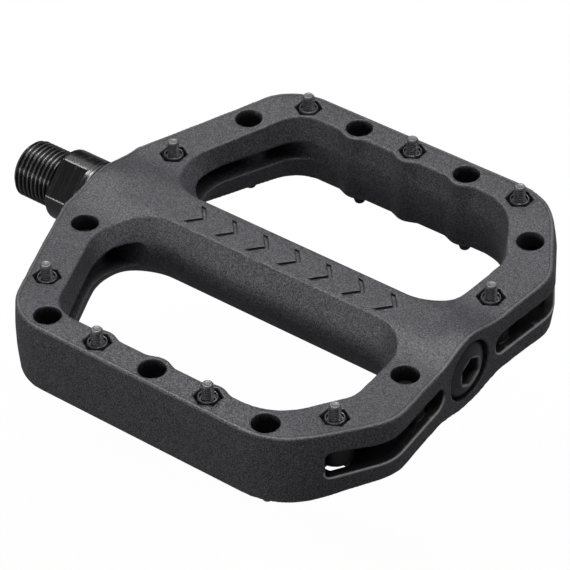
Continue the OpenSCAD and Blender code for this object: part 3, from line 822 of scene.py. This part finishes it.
# ---------------------------------------------------------------- end cap
NC = 96
ec = Lathe(NC)
CAP_RIM = CAP_X1 - 1.8
DISC = CAP_RIM - 4.2
hexa = hex_r(ec.th, 6.0, math.pi / 2)
for s, r in ((DISC, 5.7), (DISC - 0.35, 6.1), (CAP_X0 + 0.2, 6.1), (CAP_X0, 6.3), (CAP_X0, 6.75), (CAP_X0 + 0.2, 6.95), (DISC, 6.95),
             (DISC, 7.3), (DISC + 0.15, 7.45)):
    ec.ring(s, r)
s = DISC + 0.3
while s < CAP_RIM - 0.45:
    ec.ring(s, 7.45 - 0.32 * thread(s, ec.th, 1.0) * min(1.0, (s - DISC - 0.2) / 0.5))
    s += 0.1
for s, r in ((-0.42, 7.42), (-0.25, 7.40), (-0.10, 7.34), (0.0, 7.24), (0.06, 7.16), (0.30, 6.95), (0.58, 6.60), (0.86, 6.15),
             (1.12, 5.62), (1.36, 5.10), (1.58, 4.62), (1.72, 4.30), (1.78, 4.16), (1.80, 4.08)):
    ec.ring(CAP_RIM + s, r)
ec.ring(CAP_X1, hexa * 1.155)
ec.ring(CAP_X1 - 0.05, hexa * 1.135)
ec.ring(CAP_X1 - 0.42, hexa * 1.01)
ec.ring(CAP_X1 - 0.50, hexa)
ec.ring(CAP_RIM - 2.0, hexa)
ec.ring(CAP_RIM - 2.25, 1.4)
v, f = ec.build()
cap = turned_piece("end_cap_turned", v, f, M_CAP, "platform", ["end_cap"], 28)
rr = np.hypot(v[:, 1], v[:, 2])
# edge: painted highlight round the hex socket's rim and a fainter one on the cap's rim; root: painted shade inside the
# hex socket
set_attr(cap.data, "edge", ((v[:, 0] > CAP_RIM - 0.2) & (rr > 7.1)) * 0.3 + ((v[:, 0] > CAP_X1 - 0.1) & (rr < 4.05)) * 1.0)
set_attr(cap.data, "root", ((v[:, 0] < CAP_X1 - 0.45) & (rr < 3.6)) * 1.0)


# ---------------------------------------------------------------- pins and nuts
def pin(turn):
    """one screw, tip up, z = 0 at the seat under its head"""
    n = 36
    p = Lathe(n)
    hx = hex_r(p.th, 2.5, turn)
    p.ring(-1.5, 0.6)
    p.ring(-1.62, hx)
    p.ring(-2.86, hx)
    p.ring(-3.0, hx + 0.14)
    p.ring(-3.0, 2.3)
    p.ring(-2.93, 2.55)
    p.ring(-2.78, 2.70)
    p.ring(-2.5, 2.75)
    p.ring(-0.15, 2.75)
    p.ring(0.0, 2.62)
    p.ring(0.0, 1.62)
    p.ring(0.12, 1.45)
    st = 0.0625
    s = 0.8
    p.ring(0.6, 1.45)
    tip = [0.0] * 13
    # root marks painted shade: the whole head and the thread roots
    root = [np.ones(n)] * 10 + [np.zeros(n)] * 3
    while s < PIN_LEN - 0.42:
        fade = min(1.0, (s - 0.7) / 0.6)
        p.ring(s, 1.42 - 0.27 * fade * thread(s, p.th + turn, 0.5, 0.2, 0.16))
        tip.append(0.0)
        root.append(fade * thread(s, p.th + turn, 0.5, 0.2, 0.16))
        s += st
    for s, r, t in ((PIN_LEN - 0.52, 1.26, 0.3), (PIN_LEN - 0.34, 1.25, 0.4), (PIN_LEN - 0.16, 1.20, 0.8),
                    (PIN_LEN - 0.05, 1.12, 1), (PIN_LEN, 1.00, 1), (PIN_LEN, 0.82, 0.8), (PIN_LEN - 0.07, 0.70, 0.2),
                    (PIN_LEN - 0.10, 0.4, 0.4)):
        p.ring(s, r)
        tip.append(t)
        root.append(np.zeros(n))
    v, f = p.build()
    return upright(v), f, np.concatenate([np.repeat(tip, n), [0, 1]]), np.concatenate(root + [[1, 0]])


def nut():
    """one collared nut, collar top at z = 0, corner of the hexagon on +y"""
    n = 72
    p = Lathe(n)
    hx = hex_r(p.th, 5.5, math.pi / 2)
    # the hexagon's top is turned: a bevel that cuts the corners
    bev = lambda r: (np.maximum(r - 2.40, 0)) * 0.55
    top = -1.2
    p.ring(-3.6, 1.5)
    p.ring(-3.6, 2.35)
    p.ring(-3.6 + bev(hx) * 0.6, hx)
    p.ring(top - bev(hx) - 0.03, hx)
    p.ring(top - bev(hx * 0.985), hx * 0.985)
    p.ring(top - bev(hx * 0.93), hx * 0.93)
    p.ring(top, 2.42)
    p.ring(top + 0.06, 2.35)
    p.ring(-0.30, 2.35)
    p.ring(-0.10, 2.28)
    p.ring(0.0, 2.14)
    p.ring(0.0, 2.04)
    p.ring(-0.03, 1.97)
    p.ring(-0.16, 1.88)
    p.ring(-0.62, 1.86)
    p.ring(-0.66, 1.5)
    v, f = p.build_ring()
    v = upright(v)
    # tip marks a painted highlight on the collar's rounded edge, used as the nut's edge; root marks painted shade in
    # the bore
    tip = np.zeros(len(v))
    tip[8 * n:12 * n] = 0.7
    root = np.zeros(len(v))
    root[14 * n:16 * n] = 1
    return v, f, tip, root


def build_ring(self):
    """as build, for a section that closes on itself round the hole"""
    n, m = self.n, len(self.rings)
    V = np.concatenate([np.stack([np.broadcast_to(np.asarray(s, float), (n,)), r * np.cos(self.th), r * np.sin(self.th)], 1)
                        for s, r in self.rings])
    k = np.arange(n)
    k2 = (k + 1) % n
    Q = np.concatenate([np.stack([i * n + k, ((i + 1) % m) * n + k, ((i + 1) % m) * n + k2, i * n + k2], 1)
                        for i in range(m)])
    return V, Q.tolist()


Lathe.build_ring = build_ring
rng = np.random.default_rng(7)
GROUPS = {"top_front": (FRONT, 0), "top_rear": (REAR, 0), "top_crank": (CRANK, 0), "top_outer": (OUTER, 0),
          "bottom_front": (REAR, 1), "bottom_rear": (FRONT, 1), "bottom_crank": (CRANK, 1), "bottom_outer": (OUTER, 1)}
for g, (rows, under) in GROUPS.items():
    for kind in ("pins", "nuts"):
        parts, tips, roots = [], [], []
        for x, y, h in rows:
            if kind == "pins":
                v, f, t, w = pin(rng.uniform(0, math.pi / 3))
                v = v + np.array([x, y, h + STAND - PIN_LEN])
            else:
                v, f, t, w = nut()
                v = v + np.array([x, y, h + 0.1])
            parts.append((turned(v) if under else v, f))
            tips.append(t)
            roots.append(w)
        v, f = join(parts)
        name = kind + "_" + g
        if kind == "pins":
            o = turned_piece("screws_" + g, v, f, M_PIN, "platform", [name], 40)
            set_attr(o.data, "tip", np.concatenate(tips))
            set_attr(o.data, "root", np.concatenate(roots))
        else:
            o = turned_piece("hex_" + name, v, f, M_NUT, "platform", [name], 30)
            # the nut's edge values: painted highlight on the collar's rounded edge
            set_attr(o.data, "edge", np.concatenate(tips) * 1.0)
            set_attr(o.data, "root", np.concatenate(roots))

# ---------------------------------------------------------------- floor
FLOOR_Z = -0.0555      # clear of the platform at every angle of its spin
bpy.ops.mesh.primitive_plane_add(size=12, location=(0.06, 0, FLOOR_Z))
floor = bpy.context.object
floor.name = "floor"
fm = bpy.data.materials.new("pale_floor")
fm.use_nodes = True
t = fm.node_tree
t.nodes.clear()
mo = t.nodes.new("ShaderNodeOutputMaterial")
lp = t.nodes.new("ShaderNodeLightPath")
geo = t.nodes.new("ShaderNodeNewGeometry")
seen = t.nodes.new("ShaderNodeEmission")
seen.inputs[0].default_value = (1, 1, 1, 1)
seen.inputs[1].default_value = 1.0
soft = t.nodes.new("ShaderNodeBsdfDiffuse")
soft.inputs[0].default_value = (0.9, 0.9, 0.9, 1)
dull = t.nodes.new("ShaderNodeBsdfDiffuse")
dull.inputs[0].default_value = (0.16, 0.16, 0.165, 1)
clear = t.nodes.new("ShaderNodeBsdfTransparent")
a = t.nodes.new("ShaderNodeMixShader")
a.inputs[0].default_value = 0.03
b = t.nodes.new("ShaderNodeMixShader")
c = t.nodes.new("ShaderNodeMixShader")
t.links.new(seen.outputs[0], a.inputs[1])
t.links.new(soft.outputs[0], a.inputs[2])
t.links.new(lp.outputs["Is Camera Ray"], b.inputs[0])
t.links.new(dull.outputs[0], b.inputs[1])
t.links.new(a.outputs[0], b.inputs[2])
t.links.new(geo.outputs["Backfacing"], c.inputs[0])
t.links.new(b.outputs[0], c.inputs[1])
t.links.new(clear.outputs[0], c.inputs[2])
t.links.new(c.outputs[0], mo.inputs[0])
floor.data.materials.append(fm)

# ---------------------------------------------------------------- light
world = bpy.data.worlds.new("studio")
bpy.context.scene.world = world
world.use_nodes = True
t = world.node_tree
bg = t.nodes["Background"]
tc = t.nodes.new("ShaderNodeTexCoord")
sep = t.nodes.new("ShaderNodeSeparateXYZ")
t.links.new(tc.outputs["Generated"], sep.inputs[0])
mr = t.nodes.new("ShaderNodeMapRange")
mr.inputs[1].default_value, mr.inputs[2].default_value = -0.15, 0.9
mr.inputs[3].default_value, mr.inputs[4].default_value = 0.0, 0.03
t.links.new(sep.outputs["Z"], mr.inputs[0])
lp = t.nodes.new("ShaderNodeLightPath")
mx = t.nodes.new("ShaderNodeMix")
t.links.new(lp.outputs["Is Camera Ray"], mx.inputs[0])
dim = t.nodes.new("ShaderNodeMapRange")
dim.inputs[1].default_value, dim.inputs[2].default_value = -0.2, 0.8
dim.inputs[3].default_value, dim.inputs[4].default_value = 1.0, 0.45
t.links.new(sep.outputs["X"], dim.inputs[0])
mul = t.nodes.new("ShaderNodeMath")
mul.operation = "MULTIPLY"
t.links.new(mr.outputs[0], mul.inputs[0])
t.links.new(dim.outputs[0], mul.inputs[1])
t.links.new(mul.outputs[0], mx.inputs[2])
mx.inputs[3].default_value = 1.0
t.links.new(mx.outputs[0], bg.inputs[1])
bg.inputs[0].default_value = (1, 1, 1, 1)

AIM = Vector((PC * MM, 0, 0))


def lamp(name, azimuth, elevation, dist, w, h, radiance, tint=(1, 1, 1)):
    """soft box at an azimuth (0 behind the object, 90 on -X) and elevation, aimed at the platform"""
    d = bpy.data.lights.new(name, "AREA")
    d.shape, d.size, d.size_y = "RECTANGLE", w, h
    d.energy = radiance * math.pi * w * h
    d.color = tint
    o = bpy.data.objects.new(name, d)
    bpy.context.scene.collection.objects.link(o)
    az, el = math.radians(azimuth), math.radians(elevation)
    p = Vector((-math.sin(az) * math.cos(el), math.cos(az) * math.cos(el), math.sin(el)))
    o.location = AIM + p * dist
    o.rotation_euler = p.to_track_quat("Z", "Y").to_euler()
    return o


lamp("overhead", 0, 86, 1.4, 0.9, 0.9, 5.0)
lamp("front_left", 151, 12, 1.4, 0.38, 0.28, 14.3)
lamp("front", 180, 50, 1.4, 0.8, 0.8, 0.8)
lamp("front_right_low", 215, 12, 1.4, 0.8, 0.5, 1.1)
lamp("back_left", 30, 50, 1.4, 0.9, 0.9, 1.0)
lamp("back_right", 310, 45, 1.4, 0.8, 0.8, 2.1)
lamp("glint", 66, 59, 1.4, 0.35, 0.35, 14.0)

# ---------------------------------------------------------------- camera
az, el, roll = 0.6618498041, 0.6833633493, -0.0205221331
D, F, tx, ty = 728.23427700, 3181.45138210, -0.7378952761, 0.3124216790
bv = np.array([math.sin(az) * math.cos(el), -math.cos(az) * math.cos(el), math.sin(el)])
rv = np.cross(-bv, [0, 0, 1])
rv /= np.linalg.norm(rv)
uv = np.cross(rv, -bv)
r2 = math.cos(roll) * rv + math.sin(roll) * uv
u2 = -math.sin(roll) * rv + math.cos(roll) * uv
C = tx * r2 + ty * u2 + bv * D
cam = bpy.data.cameras.new("camera")
co_ = bpy.data.objects.new("camera", cam)
bpy.context.scene.collection.objects.link(co_)
co_.matrix_world = Matrix(((r2[0], u2[0], bv[0], (C[0] + PC) * MM), (r2[1], u2[1], bv[1], C[1] * MM),
                           (r2[2], u2[2], bv[2], C[2] * MM), (0, 0, 0, 1)))
cam.sensor_width = 36
cam.lens = F / 570 * 36
cam.clip_start, cam.clip_end = 0.05, 20
bpy.context.scene.camera = co_
bpy.context.scene.view_settings.view_transform = "Standard"
bpy.context.scene.view_settings.look = "None"
